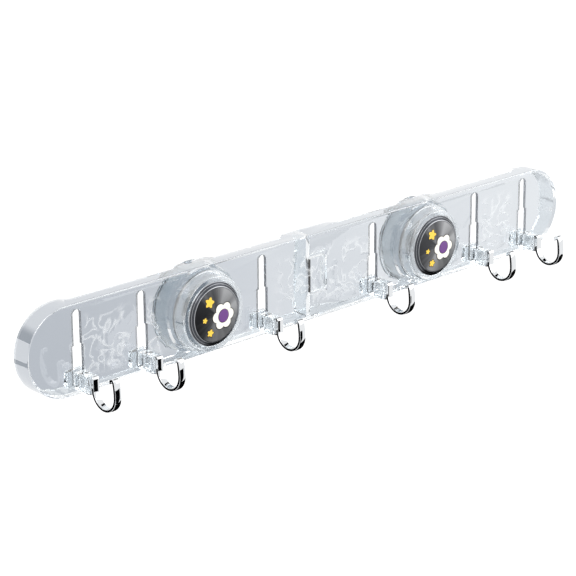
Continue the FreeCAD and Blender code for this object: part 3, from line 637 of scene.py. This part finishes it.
class HOOKRAIL_OT_hooks(bpy.types.Operator):
    """Make the six hooks, each a chromed strip bent in one piece"""
    bl_idname = "hookrail.hooks"
    bl_label = "Chromed hooks"

    def execute(self, context):
        chrome = polished_chrome_plate()
        # The strip's section has rounded edges and a slightly crowned face on either side: over the place x
        # across it, a face stands at half the thickness - crown (x / half the width)^2 from the middle line.
        edge, crown = sizes().strip_edge * 1000, sizes().strip_crown * 1000
        half_width, half_thickness = sizes().strip_width * 500, sizes().strip_thickness * 500
        face = [(x, half_thickness - crown * (x / half_width) ** 2)
                for x in np.linspace(-half_width, half_width, 13)]
        corners = [(x, -y) for x, y in face] + face[::-1]
        outline = rounded(corners, ([edge] + [0.1] * 11 + [edge]) * 2, steps=4)
        # Two more rows at each end shrink the section to the middle line, which closes the strip.
        path = hook_path()
        scale = np.concatenate([[0, 0.93], np.ones(len(path[0])), [0.93, 0]])[:, None]
        path_y, path_z, heading = (np.pad(row, 2, mode="edge")[:, None] for row in path)
        across, out = outline[None, :, 0] * scale, outline[None, :, 1] * scale
        for n, x in enumerate(HOOK_PLACES, start=1):
            points = np.stack([x + across, path_y - out * np.sin(heading),
                               path_z + out * np.cos(heading)], axis=-1)
            mesh = surface(f"chromed_hook_{n}", points, wrap_v=True)
            piece(f"chromed_hook_{n}", mesh, chrome, f"carrier_{n}", [f"hook_{n}"], angle=60)
        return {"FINISHED"}


# Stage

# The black cards that the chrome mirrors: name, centre and size in metres, facing and the rays that meet
# each. In order: the black sides of the strips, seen through the clear bar too; the strips' rounded left
# edges; a card straight behind the bar; one overhead for the streak low on each ring's inner face; the
# black left part of the crowned faces of the first three hooks; and the rings' lower outer faces.
BLACK_CARDS = (
    ("card_left", (-0.74, 0.79, -0.42), (0.6, 0.12), (0.645, -0.69, 0.32), ("glossy", "transmission")),
    ("card_side", (-1.13, -0.20, -0.40), (1.0, 0.26), (0.93, -0.15, 0.32), ("glossy",)),
    ("card_back", (-0.02, 1.15, -0.42), (0.8, 0.22), (0, -0.94, 0.34), ("glossy",)),
    ("card_spot", (0.906, 0.27, 0.99), (0.9, 0.5), (-0.3, -0.2, -0.93), ("glossy",)),
    ("card_front", (0.438, -0.981, -0.652), (0.534, 0.9), (-0.35, 0.85, 0.4), ("glossy",)),
    ("card_low", (0.62, 0.13, -0.74), (1.56, 0.9), (-0.645, 0.0, 0.74), ("glossy",)),
)


def stage_plane(name, centre, size, facing, material, seen_by):
    """A flat stage piece centred at a point in metres and facing a direction. Its first side is level, or
    runs near X where it faces mostly up or down. seen_by lists the kinds of ray that meet it."""
    normal = np.array(facing, float) / np.linalg.norm(facing)
    side = np.cross((0, 0, 1) if abs(normal[2]) < 0.9 else (0, 1, 0), normal)
    side /= np.linalg.norm(side)
    up = np.cross(normal, side)
    u, v = np.meshgrid((-0.5, 0.5), (-0.5, 0.5), indexing="ij")
    points = np.array(centre) + u[..., None] * side * size[0] + v[..., None] * up * size[1]
    mesh = bpy.data.meshes.new(name)
    mesh.from_pydata(points.reshape(-1, 3).tolist(), [], [(0, 2, 3, 1)])
    obj = bpy.data.objects.new(name, mesh)
    bpy.context.scene.collection.objects.link(obj)
    mesh.materials.append(material)
    for kind in ALL_RAYS:
        setattr(obj, "visible_" + kind, kind in seen_by)


def glow(name, base):
    """A card that shines evenly in one colour, whatever lights it."""
    material = bpy.data.materials.new(name)
    material.use_nodes = True
    tree = material.node_tree
    tree.nodes.clear()
    light = add(tree, "ShaderNodeEmission", {"Color": (*base, 1), "Strength": 1.0})
    add(tree, "ShaderNodeOutputMaterial", {"Surface": light.outputs[0]})
    return material


def graded_card(name, axis, start, end, first, last):
    """A card whose colour runs from one tone to another between two places in metres along an axis."""
    material = glow(name, (1, 1, 1))
    tree = material.node_tree
    place = add(tree, "ShaderNodeTexCoord").outputs["Object"]
    apart = add(tree, "ShaderNodeSeparateXYZ", {"Vector": place})
    share = add(tree, "ShaderNodeMapRange",
                {"Value": apart.outputs[axis], "From Min": start, "From Max": end},
                interpolation_type="SMOOTHSTEP")
    tone = add(tree, "ShaderNodeMix",
               {"Factor": share.outputs[0], 6: (*linear(first), 1), 7: (*linear(last), 1)}, data_type="RGBA")
    tree.links.new(tone.outputs[2], tree.nodes["Emission"].inputs["Color"])
    return material


def studio_floor():
    """Matt white paper: plain white in reflections and through the clear parts, with soft shadows kept."""
    material = bpy.data.materials.new("matt_white_paper")
    material.use_nodes = True
    tree = material.node_tree
    tree.nodes.clear()
    paper = add(tree, "ShaderNodeBsdfDiffuse", {"Color": (*colours().floor, 1)})
    light = add(tree, "ShaderNodeEmission", {"Color": (*colours().floor, 1), "Strength": 0.6})
    both = add(tree, "ShaderNodeAddShader", {0: paper.outputs[0], 1: light.outputs[0]})
    white = add(tree, "ShaderNodeEmission", {"Color": (*colours().floor, 1), "Strength": 1.0})
    path = add(tree, "ShaderNodeLightPath")
    seen = add(tree, "ShaderNodeMath",
               {0: path.outputs["Is Glossy Ray"], 1: path.outputs["Is Transmission Ray"]},
               operation="MAXIMUM")
    mix = add(tree, "ShaderNodeMixShader", {0: seen.outputs[0], 1: both.outputs[0], 2: white.outputs[0]})
    add(tree, "ShaderNodeOutputMaterial", {"Surface": mix.outputs[0]})
    return material


def white_world():
    """A white studio, a little over half as bright where it lights a piece as where it's seen or mirrored."""
    world = bpy.data.worlds.new("white_studio")
    world.use_nodes = True
    tree = world.node_tree
    tree.nodes.clear()
    path = add(tree, "ShaderNodeLightPath")
    seen = add(tree, "ShaderNodeMath", {0: path.outputs["Is Camera Ray"], 1: path.outputs["Is Glossy Ray"]},
               operation="MAXIMUM")
    seen = add(tree, "ShaderNodeMath", {0: seen.outputs[0], 1: path.outputs["Is Transmission Ray"]},
               operation="MAXIMUM")
    level = add(tree, "ShaderNodeMapRange", {"Value": seen.outputs[0], "To Min": 0.55, "To Max": 1.0})
    light = add(tree, "ShaderNodeBackground", {"Color": (1, 1, 1, 1), "Strength": level.outputs[0]})
    add(tree, "ShaderNodeOutputWorld", {"Surface": light.outputs[0]})
    return world


class HOOKRAIL_OT_stage(bpy.types.Operator):
    """Set up the floor, lamps, reflection cards, world and camera"""
    bl_idname = "hookrail.stage"
    bl_label = "Stage"

    def execute(self, context):
        scene = context.scene
        scene.view_settings.view_transform = "Standard"
        scene.cycles.max_bounces = scene.cycles.transmission_bounces = scene.cycles.glossy_bounces = 32
        scene.world = white_world()
        stage_plane("floor", (0, 0, -1.1), (16, 16), (0, 0, 1), studio_floor(), ALL_RAYS)
        black = glow("black_card", linear("#050506"))
        grey = graded_card("grey_card", "X", 0.75, 1.45, "#C9CDD4", "#EEF0F3")
        for name, centre, size, facing, seen_by in BLACK_CARDS:
            stage_plane(name, centre, size, facing, black, seen_by)
        # A grey wall behind to the left, paler upwards, ends at the horizon: it draws the dark band with
        # a sharp lower end on the rounded end of the bar and on the knobs.
        wall = graded_card("wall_card", "Z", 0.7, 1.3, "#000000", "#FFFFFF")
        stage_plane("card_wall", (-1.3, 1.3, 0.91), (3.4, 1.1), (0.7, -0.7, 0), wall, ("glossy",))
        # A pale grey card behind is what the clear plastic shows through its flat faces.
        stage_plane("card_behind", (1.10, 1.18, -0.55), (1.7, 1.1), (-0.645, -0.69, 0.32), grey,
                    ("transmission",))

        for name, place, power in (("key", (-0.7, -1.2, 1.3), 14), ("fill", (1.1, -1.0, 0.5), 7)):
            lamp = bpy.data.lights.new(name, "AREA")
            lamp.shape = "SQUARE"
            lamp.size = 1.2
            lamp.energy = power
            obj = bpy.data.objects.new(name, lamp)
            scene.collection.objects.link(obj)
            from_object = np.array(place) / np.linalg.norm(place)
            obj.location = place
            obj.rotation_euler = (math.acos(from_object[2]), 0, math.atan2(from_object[0], -from_object[1]))
            obj.visible_camera = False

        # Camera worked out from the outline of the bar, its slots, joint and knobs in the photograph: it
        # looks along forward, past the origin at these distances in millimetres.
        yaw, pitch, roll = math.radians(42.981), math.radians(18.82), math.radians(-0.412)
        aside, above, distance = 9.628, 11.642, 1461.195
        forward = np.array([math.sin(yaw) * math.cos(pitch), math.cos(yaw) * math.cos(pitch),
                            -math.sin(pitch)])
        right = np.array([math.cos(yaw), -math.sin(yaw), 0])
        up = np.cross(right, forward)
        right, up = (math.cos(roll) * right + math.sin(roll) * up,
                     math.cos(roll) * up - math.sin(roll) * right)
        lens = bpy.data.cameras.new("photo_camera")
        lens.sensor_width = 36
        lens.lens = sizes().lens
        lens.clip_end = 100
        camera = bpy.data.objects.new("photo_camera", lens)
        scene.collection.objects.link(camera)
        place = -(aside * right + above * up + distance * forward) / 1000
        rows = [[right[i], up[i], -forward[i], place[i]] for i in range(3)]
        camera.matrix_world = Matrix(rows + [[0, 0, 0, 1]])
        scene.camera = camera
        return {"FINISHED"}


class HOOKRAIL_PT_panel(bpy.types.Panel):
    """Sizes, colours and the steps that make the hook rail"""
    bl_idname = "HOOKRAIL_PT_panel"
    bl_label = "Hook rail"
    bl_space_type = "VIEW_3D"
    bl_region_type = "UI"
    bl_category = "Hook rail"

    def draw(self, context):
        for group in (context.scene.hook_rail_sizes, context.scene.hook_rail_colours):
            for name in group.__annotations__:
                self.layout.prop(group, name)
        for operator in OPERATORS:
            self.layout.operator(operator.bl_idname)


OPERATORS = (HOOKRAIL_OT_bar, HOOKRAIL_OT_cups, HOOKRAIL_OT_studs, HOOKRAIL_OT_knobs, HOOKRAIL_OT_caps,
             HOOKRAIL_OT_holders, HOOKRAIL_OT_hooks, HOOKRAIL_OT_stage)
CLASSES = (RailSizes, RailColours, *OPERATORS, HOOKRAIL_PT_panel)


def register():
    for item in CLASSES:
        bpy.utils.register_class(item)
    bpy.types.Scene.hook_rail_sizes = PointerProperty(type=RailSizes)
    bpy.types.Scene.hook_rail_colours = PointerProperty(type=RailColours)


def unregister():
    del bpy.types.Scene.hook_rail_colours
    del bpy.types.Scene.hook_rail_sizes
    for item in reversed(CLASSES):
        bpy.utils.unregister_class(item)


def main():
    register()
    steps = bpy.ops.hookrail
    for operator in (steps.bar, steps.cups, steps.studs, steps.knobs, steps.caps, steps.holders, steps.hooks,
                     steps.stage):
        operator()


if __name__ == "__main__":
    main()
